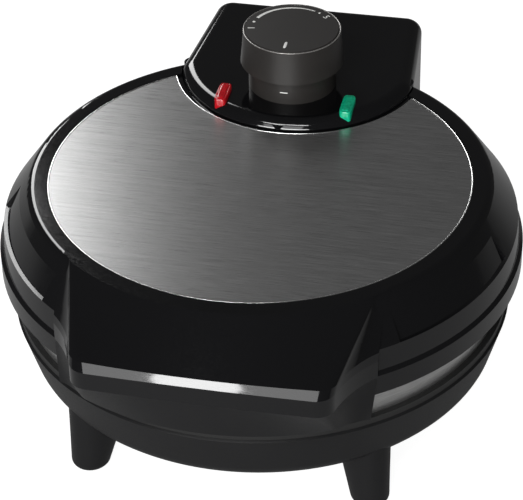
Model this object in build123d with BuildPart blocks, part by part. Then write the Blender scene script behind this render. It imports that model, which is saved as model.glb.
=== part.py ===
"""Countertop waffle maker with a hinged lid and two round plates of five hearts.

The frame: origin on the table under the middle of the appliance's length and width, +Z up, +Y
towards the hinge, -Y towards the handle. The pieces are drawn round the axis of the round body, and
save() moves them to that frame. Every length is in millimetres and the lid is modelled closed.
"""

import os
from math import copysign, cos, radians, sin, sqrt

from build123d import *

os.makedirs("parts", exist_ok=True)

# Heights, from the table up
foot_height = 27.0  # table to the underside of the bowl
bowl_depth = 26.0  # underside of the bowl to its top edge
liner_rise = 3.0  # the lower liner above the bowl's edge
rim_height = 6.7  # a cooking plate's bare rim
parting_gap = 0.6  # between the two plates with the lid shut
upper_liner_thickness = 2.5
lid_height = 36.5  # lid's lower edge to the top of the steel inlay
panel_rise = 4.0  # control panel above the steel inlay

bowl_top = foot_height + bowl_depth
lower_liner_top = bowl_top + liner_rise
lower_face = lower_liner_top + rim_height  # the lower plate's mating face
upper_face = lower_face + parting_gap
upper_liner_bottom = upper_face + rim_height
lid_bottom = upper_liner_bottom + upper_liner_thickness
inlay_top = lid_bottom + lid_height
panel_top = inlay_top + panel_rise

# Fits and walls
wall = 2.5
clearance = 0.2  # between pieces that are assembled and don't move
running_clearance = 0.06  # a pin or shaft in its bore
press_clearance = 0.02  # a pin that its hole holds
screw_radius = 1.6
screw_head_radius = 3.0
screw_head_height = 2.0
screw_boss_radius = 4.5

# Bowl of the base
bowl_radius = 107.5
bowl_foot_radius = 100.4  # the bowl's side carried down to its underside
bowl_corner = 10.0
bowl_edge_chamfer = 0.8
liner_setback = 0.9  # the lower liner's edge inside the bowl's
lower_liner_inner_radius = 96.0

lower_liner_radius = bowl_radius - liner_setback

# Lid
flange_radius = 112.0
flange_height = 9.0
flange_step = 1.5  # from the flange in to the band over it
band_draft = 1.0  # the band leans in by this much up to its ledge
band_height = 20.0  # lid's lower edge to the ledge over the band
crease_radius = 97.5
bezel_rise = 0.3  # the lid's bezel above the steel inlay
inlay_radius = 90.0
inlay_thickness = 0.8
inlay_margin = 2.2  # bezel left between the inlay and the control housing
side_recess_depth = 1.6
side_recess_start = -48.0  # degrees from +X, seen from above
side_recess_span = 38.0
upper_liner_inner_radius = 97.0
upper_liner_skirt = 2.0

band_radius = flange_radius - flange_step
band_top_radius = band_radius - band_draft

# Cooking plates
heart_count = 5
heart_lobe_radius = 20.0
heart_lobe_spread = 18.5  # lobe centre to the heart's own axis
heart_lobe_reach = 66.0  # lobe centre from the plate's centre, along the heart's axis
heart_half_angle = 34.0  # a heart's side to its axis
hub_radius = 9.0  # the pocket where the five tips meet
pocket_depth = 3.2  # mating face to the top of the grid's bars
pit_depth = 4.0  # bars to the floor of the pits
plate_floor = 3.0  # metal under the pits
plate_skin = 3.0  # metal of the outer rim
grid_pitch = 13.0
grid_bar = 3.6
heart_margin = 2.2  # plain border between a heart's edge and its pits
smallest_pit = 14.0  # a clipped pit with less area, in square mm, is left out
plate_body_radius = 91.0
lower_rim_radius = 104.0
upper_rim_radius = 106.0

# Heating elements and their pans
element_radius = 60.0
element_tube = 3.3
element_seat = 1.3  # depth of the tube in its boss
element_boss_width = 10.0
element_boss_height = 4.3
element_opening = 36.0  # degrees left open between the two cold ends
terminal_radius = 1.6
pan_gauge = 0.8
pan_depth = 15.7
pan_rim_radius = 90.0
pan_floor_radius = 84.0
plate_screw_ring = 70.0
screw_depth = 8.0  # thread in the piece that a screw holds

# Hinge
hinge_y = 118.0
hinge_z = bowl_top + 3.0
barrel_radius = 17.0
barrel_top_radius = 10.0
barrel_half_width = 36.5
barrel_gap = 0.5  # between the barrel and each boss
pin_radius = 2.5
pin_length = 22.0
pin_engagement = 8.0
boss_radius = 8.0
cheek_radius = 12.0
cheek_front_y = 104.5

# Control housing, in plan
housing_front_y = 36.0
housing_shoulder_y = 78.0
housing_shoulder_x = 53.0
housing_back_y = 139.0
housing_back_x = 48.5
housing_corner = 8.0
housing_shoulder = 15.0  # rounding where the front arc meets the sides
housing_bullnose = 6.0
housing_seat = 8.0  # inlay's level down to the shelf that carries the housing
housing_shelf = 7.5
housing_back_bottom = 62.0
shelf_end_y = 88.0

# Knob, thermostat and lamps
knob_y = 70.0
knob_radius = 21.5
knob_skirt_radius = 23.0
knob_height = 15.5
knob_chamfer = 1.0
knob_gap = 0.4
collar_radius = 19.5
collar_height = 11.5
shaft_radius = 3.0
shaft_depth_in_knob = 9.0
thermostat_width = 30.0
thermostat_depth = 24.0
thermostat_height = 13.0
lens_x = 28.0
lens_y = 57.0
lens_width = 5.6
lens_length = 13.0
lens_corner = 1.2
lens_proud = 2.4
lens_edge = 0.9
lens_stem = 5.0
lens_stem_width = 4.0
lens_stem_length = 10.0
lamp_radius = 2.4
lamp_length = 10.0

# Handle
handle_projection = 8.0  # the handle's front beyond the lid's flange
handle_front_half_width = 52.0
handle_crease_half_width = 62.0
handle_root_half_width = 66.0
handle_bow = 0.8
handle_drop = 18.0  # inlay's level down to the handle's front edge
handle_face = 10.0
handle_corner = 8.0
handle_edge = 2.0  # bevel between the handle's slope and its front
handle_flare = 0.08  # hollow of the handle's sides, as a share of their length
handle_screw_angle = 15.0  # each side of the handle's middle
handle_screw_height = 4.35  # above the lid's lower edge
handle_screw_radius = 1.25
handle_screw_head_radius = 2.1
handle_screw_head_height = 1.6
handle_screw_depth = 5.0
grip_depth = 18.5
grip_foot_thickness = 3.5

handle_front_y = -flange_radius - handle_projection
grip_foot_radius = flange_radius + grip_foot_thickness

# Feet and cord inlet
foot_ring_radius = 95.0
foot_angle = 50.0  # degrees from +X
foot_tip_radius = 8.0
foot_root_radius = 11.5
foot_gusset = 16.0
foot_root_rise = 12.0  # how far a foot's root runs up inside the bowl's wall
foot_lean = 9.0
foot_edge = 3.5
pad_radius = 4.5
pad_stand = 0.8
pad_thickness = 2.8
gland_angle = 118.0
gland_height = 40.0
gland_bore = 3.5
gland_radius = 5.5
gland_flange = 8.0
gland_flange_thickness = 2.0
gland_seat_radius = 9.0
gland_seat = 107.0  # distance of the gland's flat seat from the body's axis

middle_y = (housing_back_y + handle_front_y) / 2  # middle of the length, behind the body's axis


def save(part, label):
    """Moves one finished piece to the part's frame, labels it and writes it under its own name."""
    placed = part.moved(Location((0, -middle_y, 0)))
    placed.label = label
    export_step(placed, f"parts/{label}.step")


def turned(points, corner=0.0, at=None):
    """A solid turned about the body's axis from (radius, height) points, one vertex rounded."""
    with BuildPart() as solid:
        with BuildSketch(Plane.XZ) as profile:
            with BuildLine():
                Polyline(*points, close=True)
            make_face()
            if corner:
                fillet(profile.vertices().sort_by_distance(at)[:1], corner)
        revolve(axis=Axis.Z)
    return solid.part


def housing_plan(grow):
    """The control housing seen from above: a front arc, two tapering sides, a rounded back."""
    with BuildSketch() as plan:
        with BuildLine():
            front = ThreePointArc(
                (-housing_shoulder_x, housing_shoulder_y),
                (0, housing_front_y),
                (housing_shoulder_x, housing_shoulder_y),
            )
            Polyline(
                front @ 1,
                (housing_back_x, housing_back_y),
                (-housing_back_x, housing_back_y),
                front @ 0,
            )
        make_face()
        fillet(plan.vertices().group_by(Axis.Y)[-1], housing_corner)
        fillet(plan.vertices().group_by(Axis.Y)[0], housing_shoulder)
        if grow:
            offset(amount=grow, kind=Kind.ARC)
    return plan.sketch


def upright(face, low, high):
    """A plan outline as an upright prism between two heights."""
    with BuildPart() as prism:
        with BuildSketch(Plane.XY.offset(low)):
            add(face)
        extrude(amount=high - low)
    return prism.part


def across(points, half_width):
    """A side profile of (y, z) points as a block from -half_width to half_width along X."""
    with BuildPart() as block:
        with BuildSketch(Plane.YZ):
            with BuildLine():
                Polyline(*points, close=True)
            make_face()
        extrude(amount=half_width, both=True)
    return block.part


def handle_plan(front_y, bow, half_width, root_half_width, root_y, corner):
    """The handle seen from above: a slightly bowed front and sides that flare to the lid."""
    side_y = front_y + bow
    middle_x = (half_width + root_half_width) / 2 - handle_flare * (root_y - side_y)
    middle_y = (side_y + root_y) / 2 + handle_flare * (root_half_width - half_width)
    back_y = root_y / 2
    with BuildSketch() as plan:
        with BuildLine():
            front = ThreePointArc((-half_width, side_y), (0, front_y), (half_width, side_y))
            right = ThreePointArc(front @ 1, (middle_x, middle_y), (root_half_width, root_y))
            left = ThreePointArc(front @ 0, (-middle_x, middle_y), (-root_half_width, root_y))
            Polyline(right @ 1, (root_half_width, back_y), (-root_half_width, back_y), left @ 1)
        make_face()
        fillet(plan.vertices().group_by(Axis.Y)[0], corner)
    return plan.sketch


# Heights of the handle's crease, its front edge and its lower edge
handle_top = inlay_top + bezel_rise
handle_edge_z = inlay_top - handle_drop
handle_bottom = handle_edge_z - handle_face
handle_root_y = -sqrt(flange_radius**2 - handle_root_half_width**2)
crease_bow = crease_radius - sqrt(crease_radius**2 - handle_crease_half_width**2)
crease_root_y = -sqrt(crease_radius**2 - handle_root_half_width**2) + 1.0


def handle_section(share, inset):
    """The handle's plan on its slope: share 0 is at the front edge and 1 at the crease."""

    def along(at_edge, at_crease):
        return at_edge + (at_crease - at_edge) * share

    return handle_plan(
        along(handle_front_y, -crease_radius) + inset,
        along(handle_bow, crease_bow),
        along(handle_front_half_width, handle_crease_half_width) - inset,
        handle_root_half_width - inset,
        along(handle_root_y, crease_root_y) + inset,
        handle_corner - inset,
    )


def handle_block(inset):
    """The handle's upper moulding, with its front edge bevelled, or with an inset its hollow."""
    drop = inset / 2
    slope_rise = handle_top - handle_edge_z
    slope_length = sqrt(slope_rise**2 + (crease_radius + handle_front_y) ** 2)
    bevel_share = handle_edge / slope_length
    with BuildPart() as block:
        for share, height in (
            (1, handle_top - drop),
            (bevel_share, handle_edge_z + bevel_share * slope_rise - drop),
            (0, handle_edge_z - handle_edge - drop),
            (0, handle_bottom),
        ):
            with BuildSketch(Plane.XY.offset(height)):
                add(handle_section(share, inset))
        loft(ruled=True)
    return block.part


def screws(label, places, head_z, length, down):
    """A set of like screws: head_z is the bearing face, down is +1 where they point down."""
    with BuildPart() as group:
        with Locations(*[(x, y, head_z + down * screw_head_height / 2) for x, y in places]):
            Cylinder(screw_head_radius, screw_head_height)
        with Locations(*[(x, y, head_z - down * length / 2) for x, y in places]):
            Cylinder(screw_radius, length)
    save(group.part, label)


def corners(x, y):
    """The four places (+-x, +-y)."""
    return [(x, y), (-x, y), (-x, -y), (x, -y)]


screw_place = plate_screw_ring / sqrt(2)
plate_screw_places = corners(screw_place, screw_place)
foot_places = corners(
    foot_ring_radius * cos(radians(foot_angle)), foot_ring_radius * sin(radians(foot_angle))
)
screw_hole = screw_radius + running_clearance
plate_thickness = pocket_depth + pit_depth + plate_floor
lower_back = lower_face - plate_thickness  # the lower plate's underside
upper_back = upper_face + plate_thickness
lower_pan_floor = lower_back - pan_depth
upper_pan_floor = upper_back + pan_depth


def heart_outline(inset):
    """A heart with its axis along +X and its tip near the plate's centre, drawn in by inset."""
    half_angle = radians(heart_half_angle)
    lobe = heart_lobe_radius - inset
    tip = heart_lobe_reach - (lobe + heart_lobe_spread * cos(half_angle)) / sin(half_angle)
    tangent_x = heart_lobe_reach - lobe * sin(half_angle)
    tangent_y = heart_lobe_spread + lobe * cos(half_angle)
    with BuildSketch() as outline:
        with BuildLine():
            Polyline(
                (tip, 0),
                (tangent_x, tangent_y),
                (heart_lobe_reach, heart_lobe_spread),
                (heart_lobe_reach, -heart_lobe_spread),
                (tangent_x, -tangent_y),
                close=True,
            )
        make_face()
        lobes = [(heart_lobe_reach, heart_lobe_spread), (heart_lobe_reach, -heart_lobe_spread)]
        with Locations(*lobes):
            Circle(lobe)
    return outline.sketch


heart = heart_outline(0)
inner_heart = heart_outline(heart_margin)

# The pits: square pockets on a grid, clipped to the heart's inner outline
columns = int(2 * (heart_lobe_reach + heart_lobe_radius) / grid_pitch)
rows = int(2 * (heart_lobe_spread + heart_lobe_radius) / grid_pitch) + 1
with BuildSketch() as grid:
    with Locations((heart_lobe_reach / 2, 0)):
        with GridLocations(grid_pitch, grid_pitch, columns, rows):
            Rectangle(grid_pitch - grid_bar, grid_pitch - grid_bar)
    add(inner_heart, mode=Mode.INTERSECT)
pits = [face for face in grid.sketch.faces() if face.area > smallest_pit]


def plate(label, rim_radius, face_z, up):
    """One cooking plate: up is +1 for the lower plate, whose hearts look up, and -1 for the upper."""

    def level(depth):
        return face_z - up * depth

    boss_inner = element_radius - element_boss_width / 2
    boss_outer = element_radius + element_boss_width / 2
    boss_level = level(plate_thickness + element_boss_height)
    body = turned(
        [
            (0, level(0)),
            (rim_radius, level(0)),
            (rim_radius, level(rim_height)),
            (rim_radius - plate_skin, level(rim_height)),
            (rim_radius - plate_skin, level(plate_skin)),
            (plate_body_radius, level(plate_skin)),
            (plate_body_radius, level(plate_thickness)),
            (boss_outer, level(plate_thickness)),
            (boss_outer, boss_level),
            (boss_inner, boss_level),
            (boss_inner, level(plate_thickness)),
            (0, level(plate_thickness)),
        ]
    )
    with BuildPart() as cast:
        add(body)
        with BuildSketch(Plane.XY.offset(level(0))):
            with PolarLocations(0, heart_count, 90):
                add(heart)
            Circle(hub_radius)
        extrude(amount=-up * pocket_depth, mode=Mode.SUBTRACT)
        with BuildSketch(Plane.XY.offset(level(pocket_depth))):
            with PolarLocations(0, heart_count, 90):
                add(pits)
        extrude(amount=-up * pit_depth, mode=Mode.SUBTRACT)
        with BuildSketch(Plane.XY.offset(level(plate_thickness))):
            with Locations(*plate_screw_places):
                Circle(screw_boss_radius)
        extrude(amount=-up * (pan_depth - pan_gauge))
        with BuildSketch(Plane.XY.offset(level(plate_thickness + pan_depth - pan_gauge))):
            with Locations(*plate_screw_places):
                Circle(screw_hole)
        extrude(amount=up * (screw_depth + 1), mode=Mode.SUBTRACT)
        seat_level = boss_level - up * (element_tube - element_seat)
        with BuildSketch(Plane.XZ):
            with Locations((element_radius, seat_level)):
                Circle(element_tube + running_clearance)
        revolve(axis=Axis.Z, mode=Mode.SUBTRACT)
    save(cast.part, label)

    terminal_length = (
        pan_depth - pan_gauge - element_boss_height - element_tube + element_seat - clearance
    )
    turn = 360 - element_opening
    start = 90 + element_opening / 2
    with BuildPart() as element:
        with BuildSketch(Plane.XZ.rotated((0, 0, start))):
            with Locations((element_radius, seat_level)):
                Circle(element_tube)
        revolve(axis=Axis.Z, revolution_arc=turn)
        inward = 4.0
        ends = [
            (element_radius * cos(radians(a)), element_radius * sin(radians(a)))
            for a in (start + inward, start + turn - inward)
        ]
        with BuildSketch(Plane.XY.offset(seat_level)):
            with Locations(*ends):
                Circle(terminal_radius)
        extrude(amount=-up * terminal_length)
    save(element.part, label.replace("plate", "element"))

    back = level(plate_thickness)
    pan_shell = turned(
        [
            (0, back - up * pan_depth),
            (pan_floor_radius, back - up * pan_depth),
            (pan_rim_radius, back),
            (pan_rim_radius - pan_gauge, back),
            (pan_floor_radius - pan_gauge, back - up * (pan_depth - pan_gauge)),
            (0, back - up * (pan_depth - pan_gauge)),
        ]
    )
    with BuildPart() as pan:
        add(pan_shell)
        with BuildSketch(Plane.XY.offset(back - up * (pan_depth + 1))):
            with Locations(*plate_screw_places):
                Circle(screw_hole)
        extrude(amount=up * 2, mode=Mode.SUBTRACT)
    save(pan.part, label.replace("plate", "pan"))


plate("lower_plate", lower_rim_radius, lower_face, 1)
plate("upper_plate", upper_rim_radius, upper_face, -1)


# Base shell: the bowl, four legs and the hinge barrel at the back
bowl_outer = turned(
    [
        (0, foot_height),
        (bowl_foot_radius, foot_height),
        (bowl_radius, bowl_top - bowl_edge_chamfer),
        (bowl_radius - bowl_edge_chamfer, bowl_top),
        (0, bowl_top),
    ],
    bowl_corner,
    (bowl_foot_radius, foot_height),
)
bowl_hollow = turned(
    [
        (0, foot_height + wall),
        (bowl_foot_radius - wall, foot_height + wall),
        (bowl_radius - wall, bowl_top),
        (bowl_radius - wall, bowl_top + wall),
        (0, bowl_top + wall),
    ],
    bowl_corner - wall,
    (bowl_foot_radius - wall, foot_height + wall),
)


def radial_plane(angle, height, distance):
    """A plane square to a radius of the body, at an angle from +X, a height and a distance out."""
    outward = (cos(radians(angle)), sin(radians(angle)), 0)
    centre = (distance * outward[0], distance * outward[1], height)
    return Plane(origin=centre, x_dir=(0, 0, 1), z_dir=outward)


def gland_plane(distance):
    """A plane square to the gland's axis, at a distance from the body's axis."""
    return radial_plane(gland_angle, gland_height, distance)


boss_screw_depth = 3.0
with BuildPart() as base_shell:
    add(bowl_outer)
    with BuildSketch(Plane.YZ):
        with BuildLine():
            Polyline(
                (bowl_foot_radius - bowl_corner, foot_height),
                (hinge_y, foot_height),
                (hinge_y, hinge_z - barrel_radius),
            )
            RadiusArc(
                (hinge_y, hinge_z - barrel_radius), (hinge_y + barrel_radius, hinge_z), -barrel_radius
            )
            Line((hinge_y + barrel_radius, hinge_z), (hinge_y + barrel_top_radius, hinge_z))
            ThreePointArc(
                (hinge_y + barrel_top_radius, hinge_z),
                (hinge_y, hinge_z + barrel_top_radius),
                (hinge_y - barrel_top_radius, hinge_z),
            )
            Polyline(
                (hinge_y - barrel_top_radius, hinge_z),
                (hinge_y - barrel_top_radius, bowl_top),
                (bowl_foot_radius - bowl_corner, bowl_top),
                (bowl_foot_radius - bowl_corner, foot_height),
            )
        make_face()
    extrude(amount=barrel_half_width, both=True)
    with BuildSketch(gland_plane(bowl_foot_radius - wall)):
        Circle(gland_seat_radius)
    extrude(amount=gland_seat - bowl_foot_radius + wall)
    for x, y in foot_places:
        lean = 1 - foot_lean / foot_ring_radius
        turn = copysign(foot_angle, x * y)
        with BuildSketch(Plane.XY.offset(pad_stand)):
            with Locations((x, y)):
                Circle(foot_tip_radius)
        with BuildSketch(Plane.XY.offset(foot_height + foot_root_rise)):
            with Locations(Location((x * lean, y * lean, 0), (0, 0, turn))):
                Ellipse(foot_gusset, foot_root_radius)
        loft()
    add(bowl_hollow, mode=Mode.SUBTRACT)
    with BuildSketch(gland_plane(bowl_foot_radius - 4 * wall)):
        Circle(gland_radius + press_clearance)
    extrude(amount=5 * wall + gland_seat_radius, mode=Mode.SUBTRACT)
    fillet(base_shell.edges().group_by(Axis.Z)[0], foot_edge)
    with BuildSketch(Plane.XY.offset(pad_stand)):
        with Locations(*foot_places):
            Circle(pad_radius + clearance)
    extrude(amount=pad_thickness - pad_stand, mode=Mode.SUBTRACT)
    with BuildSketch(Plane.XY.offset(foot_height)):
        with Locations(*plate_screw_places):
            Circle(screw_boss_radius)
    extrude(amount=lower_pan_floor - foot_height)
    with BuildSketch(Plane.XY.offset(foot_height)):
        with Locations(*plate_screw_places):
            Circle(screw_head_radius + clearance)
    extrude(amount=boss_screw_depth, mode=Mode.SUBTRACT)
    with BuildSketch(Plane.XY.offset(foot_height)):
        with Locations(*plate_screw_places):
            Circle(screw_hole)
    extrude(amount=bowl_depth, mode=Mode.SUBTRACT)
    with BuildSketch(Plane.YZ):
        with Locations((hinge_y, hinge_z)):
            Circle(pin_radius + press_clearance)
    extrude(amount=barrel_half_width + 1, both=True, mode=Mode.SUBTRACT)
save(base_shell.part, "base_shell")

with BuildPart() as foot_pads:
    with BuildSketch():
        with Locations(*foot_places):
            Circle(pad_radius)
    extrude(amount=pad_thickness)
    chamfer(foot_pads.edges().group_by(Axis.Z)[0], pad_stand / 2)
save(foot_pads.part, "foot_pads")

bowl_slope = (bowl_radius - bowl_foot_radius) / (bowl_depth - bowl_edge_chamfer)
liner_skirt_radius = bowl_radius - wall - clearance - liner_rise * bowl_slope
with BuildPart() as base_liner:
    add(
        turned(
            [
                (lower_liner_inner_radius, lower_liner_top),
                (lower_liner_radius, lower_liner_top),
                (lower_liner_radius, bowl_top),
                (liner_skirt_radius, bowl_top),
                (liner_skirt_radius, bowl_top - liner_rise),
                (liner_skirt_radius - wall, bowl_top - liner_rise),
                (liner_skirt_radius - wall, lower_liner_top - wall),
                (lower_liner_inner_radius, lower_liner_top - wall),
            ]
        )
    )
save(base_liner.part, "base_liner")

screws(
    "base_screws",
    plate_screw_places,
    foot_height + boss_screw_depth,
    lower_pan_floor + pan_gauge + screw_depth - foot_height - boss_screw_depth,
    -1,
)

pin_start = barrel_half_width + barrel_gap + pin_engagement - pin_length
with BuildPart() as hinge_pins:
    for side in (-1, 1):
        with BuildSketch(Plane.YZ.offset(side * pin_start)):
            with Locations((hinge_y, hinge_z)):
                Circle(pin_radius)
        extrude(amount=side * pin_length)
save(hinge_pins.part, "hinge_pins")

with BuildPart() as cord_gland:
    with BuildSketch(gland_plane(gland_seat)):
        Circle(gland_flange)
    extrude(amount=gland_flange_thickness)
    fillet(cord_gland.edges().sort_by_distance((0, 0, gland_height))[-1:], gland_flange_thickness / 2)
    with BuildSketch(gland_plane(gland_seat)):
        Circle(gland_radius)
    extrude(amount=-(gland_seat - bowl_foot_radius + 3 * wall))
    with BuildSketch(gland_plane(gland_seat + gland_flange_thickness)):
        Circle(gland_bore)
    extrude(amount=bowl_foot_radius - 4 * wall - gland_seat, mode=Mode.SUBTRACT)
save(cord_gland.part, "cord_gland")

terminal_block_y = 60.0
terminal_block_length = 34.0
terminal_block_width = 14.0
terminal_block_corner = 2.0
terminal_pitch = 10.0
terminal_entry_radius = 2.0
terminal_block_height = lower_pan_floor - foot_height - wall
with BuildPart() as terminal_block:
    with BuildSketch(Plane.XY.offset(foot_height + wall)):
        with Locations((0, terminal_block_y)):
            RectangleRounded(terminal_block_length, terminal_block_width, terminal_block_corner)
    extrude(amount=terminal_block_height)
    with BuildSketch(Plane.XY.offset(lower_pan_floor)):
        with Locations((0, terminal_block_y)):
            with GridLocations(terminal_pitch, terminal_pitch, 3, 1):
                Circle(terminal_entry_radius)
    extrude(amount=-terminal_block_height / 2, mode=Mode.SUBTRACT)
save(terminal_block.part, "terminal_block")

fuse_radius = 2.5
fuse_length = 24.0
fuse_y = 30.0
fuse_clip_width = 10.0
with BuildPart() as thermal_fuse:
    with BuildSketch(Plane.YZ):
        with Locations((fuse_y, lower_pan_floor - fuse_radius)):
            Circle(fuse_radius)
    extrude(amount=fuse_length / 2, both=True)
    with BuildSketch(Plane.YZ):
        with Locations((fuse_y, lower_pan_floor - fuse_radius)):
            Rectangle(fuse_clip_width, 2 * fuse_radius)
    extrude(amount=fuse_clip_width / 2, both=True)
save(thermal_fuse.part, "thermal_fuse")


# Lid shell: a stepped dome with a sloping handle, open at the back for the control housing
deck_top = inlay_top - inlay_thickness
deck_underside = deck_top - wall
ledge_z = lid_bottom + band_height
flange_top = lid_bottom + flange_height
dome = turned(
    [
        (0, handle_top),
        (crease_radius, handle_top),
        (band_top_radius, ledge_z),
        (band_radius, flange_top + 1.5),
        (flange_radius, flange_top),
        (flange_radius, lid_bottom),
        (0, lid_bottom),
    ],
    4.0,
    (crease_radius, handle_top),
)
dome_hollow = turned(
    [
        (0, deck_underside),
        (crease_radius - wall, deck_underside),
        (band_top_radius - wall, ledge_z - 1),
        (band_radius - wall, flange_top),
        (flange_radius - wall, flange_top - wall),
        (flange_radius - wall, lid_bottom - 1),
        (0, lid_bottom - 1),
    ]
)
inlay_recess = turned(
    [
        (0, deck_top),
        (inlay_radius + clearance, deck_top),
        (inlay_radius + clearance, handle_top + 1),
        (0, handle_top + 1),
    ]
)
handle_outer = handle_block(0)
handle_hollow = handle_block(wall)
housing_opening = upright(housing_plan(clearance), lid_bottom - 1, handle_top + 1)
seat_z = inlay_top - housing_seat
shelf_zone = across(
    [
        (0, seat_z - wall),
        (shelf_end_y, seat_z - wall),
        (shelf_end_y, deck_underside),
        (0, deck_underside),
    ],
    housing_shoulder_x + wall,
)
shelf_outer = upright(housing_plan(wall + clearance), seat_z - wall, deck_underside)
shelf_inner = upright(housing_plan(-housing_shelf), seat_z - wall - 1, deck_underside)
housing_pocket = upright(housing_plan(clearance), seat_z, deck_underside)
with BuildPart() as housing_shelf_ring:
    add(shelf_outer)
    add(shelf_zone, mode=Mode.INTERSECT)
    add(dome, mode=Mode.INTERSECT)
    add(shelf_inner, mode=Mode.SUBTRACT)
    add(housing_pocket, mode=Mode.SUBTRACT)

seat_inset = 4.5  # housing screws inside the housing's outline
housing_screw_places = [
    (0, housing_front_y + seat_inset),
    (housing_shoulder_x - seat_inset, housing_shoulder_y + seat_inset),
    (seat_inset - housing_shoulder_x, housing_shoulder_y + seat_inset),
]
handle_screw_angles = [-90 - handle_screw_angle, -90 + handle_screw_angle]
handle_screw_z = lid_bottom + handle_screw_height
handle_screw_hole = handle_screw_radius + running_clearance
recess_cut = [
    (crease_radius + 1, handle_top),
    (band_top_radius - side_recess_depth, ledge_z),
    (band_top_radius + 5, ledge_z),
    (crease_radius + 9, handle_top),
]

with BuildPart() as lid_shell:
    add(dome)
    add(handle_outer)
    for start in (side_recess_start, 180 - side_recess_start - side_recess_span):
        with BuildSketch(Plane.XZ.rotated((0, 0, start))):
            with BuildLine():
                Polyline(*recess_cut, close=True)
            make_face()
        revolve(axis=Axis.Z, revolution_arc=side_recess_span, mode=Mode.SUBTRACT)
    add(inlay_recess, mode=Mode.SUBTRACT)
    add(dome_hollow, mode=Mode.SUBTRACT)
    add(handle_hollow, mode=Mode.SUBTRACT)
    add(housing_opening, mode=Mode.SUBTRACT)
    add(housing_shelf_ring.part)
    with BuildSketch(Plane.XY.offset(upper_pan_floor)):
        with Locations(*plate_screw_places):
            Circle(screw_boss_radius)
    extrude(amount=deck_top - upper_pan_floor)
    with BuildSketch(Plane.XY.offset(deck_top)):
        with Locations(*plate_screw_places):
            Circle(screw_head_radius + clearance)
    extrude(amount=-wall, mode=Mode.SUBTRACT)
    with BuildSketch(Plane.XY.offset(deck_top)):
        with Locations(*plate_screw_places):
            Circle(screw_hole)
    extrude(amount=upper_pan_floor - deck_top, mode=Mode.SUBTRACT)
    with BuildSketch(Plane.XY.offset(seat_z)):
        with Locations(*housing_screw_places):
            Circle(screw_hole)
    extrude(amount=-wall, mode=Mode.SUBTRACT)
    for angle in handle_screw_angles:
        with BuildSketch(radial_plane(angle, handle_screw_z, flange_radius - 2 * wall)):
            Circle(handle_screw_hole)
        extrude(amount=3 * wall, mode=Mode.SUBTRACT)
save(lid_shell.part, "lid_shell")

screws(
    "upper_plate_screws",
    plate_screw_places,
    deck_underside,
    deck_underside - upper_pan_floor + pan_gauge + screw_depth,
    1,
)
screws("housing_screws", housing_screw_places, seat_z - wall, wall + screw_depth, -1)

with BuildPart() as lid_inlay:
    with BuildSketch(Plane.XY.offset(deck_top)):
        Circle(inlay_radius)
        add(housing_plan(inlay_margin), mode=Mode.SUBTRACT)
    extrude(amount=inlay_thickness)
    chamfer(lid_inlay.edges().group_by(Axis.Z)[-1], inlay_thickness / 2)
save(lid_inlay.part, "lid_inlay")

lid_skirt_radius = flange_radius - wall - clearance
with BuildPart() as lid_liner:
    add(
        turned(
            [
                (upper_liner_inner_radius, upper_liner_bottom),
                (lid_skirt_radius, upper_liner_bottom),
                (lid_skirt_radius, lid_bottom + upper_liner_skirt),
                (lid_skirt_radius - wall, lid_bottom + upper_liner_skirt),
                (lid_skirt_radius - wall, lid_bottom),
                (upper_liner_inner_radius, lid_bottom),
            ]
        )
    )
save(lid_liner.part, "lid_liner")

# The grip closes the handle from beneath and tapers back to the lid's ring
grip_bottom = handle_bottom - grip_depth
grip_root_y = -sqrt(grip_foot_radius**2 - handle_root_half_width**2)
grip_bow = grip_foot_radius - sqrt(grip_foot_radius**2 - handle_front_half_width**2)
grip_top_plan = handle_plan(
    handle_front_y,
    handle_bow,
    handle_front_half_width,
    handle_root_half_width,
    handle_root_y,
    handle_corner,
)
grip_foot_plan = handle_plan(
    -grip_foot_radius,
    grip_bow,
    handle_front_half_width,
    handle_root_half_width - 2,
    grip_root_y,
    handle_corner,
)
grip_keep_out = upright(Sketch() + Circle(flange_radius + clearance), grip_bottom - 1, handle_bottom + 1)
with BuildPart() as handle_grip:
    with BuildSketch(Plane.XY.offset(handle_bottom)):
        add(grip_top_plan)
    with BuildSketch(Plane.XY.offset(grip_bottom)):
        add(grip_foot_plan)
    loft(ruled=True)
    add(grip_keep_out, mode=Mode.SUBTRACT)
    for angle in handle_screw_angles:
        with BuildSketch(radial_plane(angle, handle_screw_z, flange_radius)):
            Circle(handle_screw_hole)
        extrude(amount=clearance + handle_screw_depth, mode=Mode.SUBTRACT)
save(handle_grip.part, "handle_grip")

handle_screw_seat = flange_radius - wall - running_clearance  # under the heads, inside the lid's ring
with BuildPart() as handle_screws:
    for angle in handle_screw_angles:
        with BuildSketch(radial_plane(angle, handle_screw_z, handle_screw_seat)):
            Circle(handle_screw_head_radius)
        extrude(amount=-handle_screw_head_height)
        with BuildSketch(radial_plane(angle, handle_screw_z, handle_screw_seat)):
            Circle(handle_screw_radius)
        extrude(amount=wall + running_clearance + clearance + handle_screw_depth)
save(handle_screws.part, "handle_screws")

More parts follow.
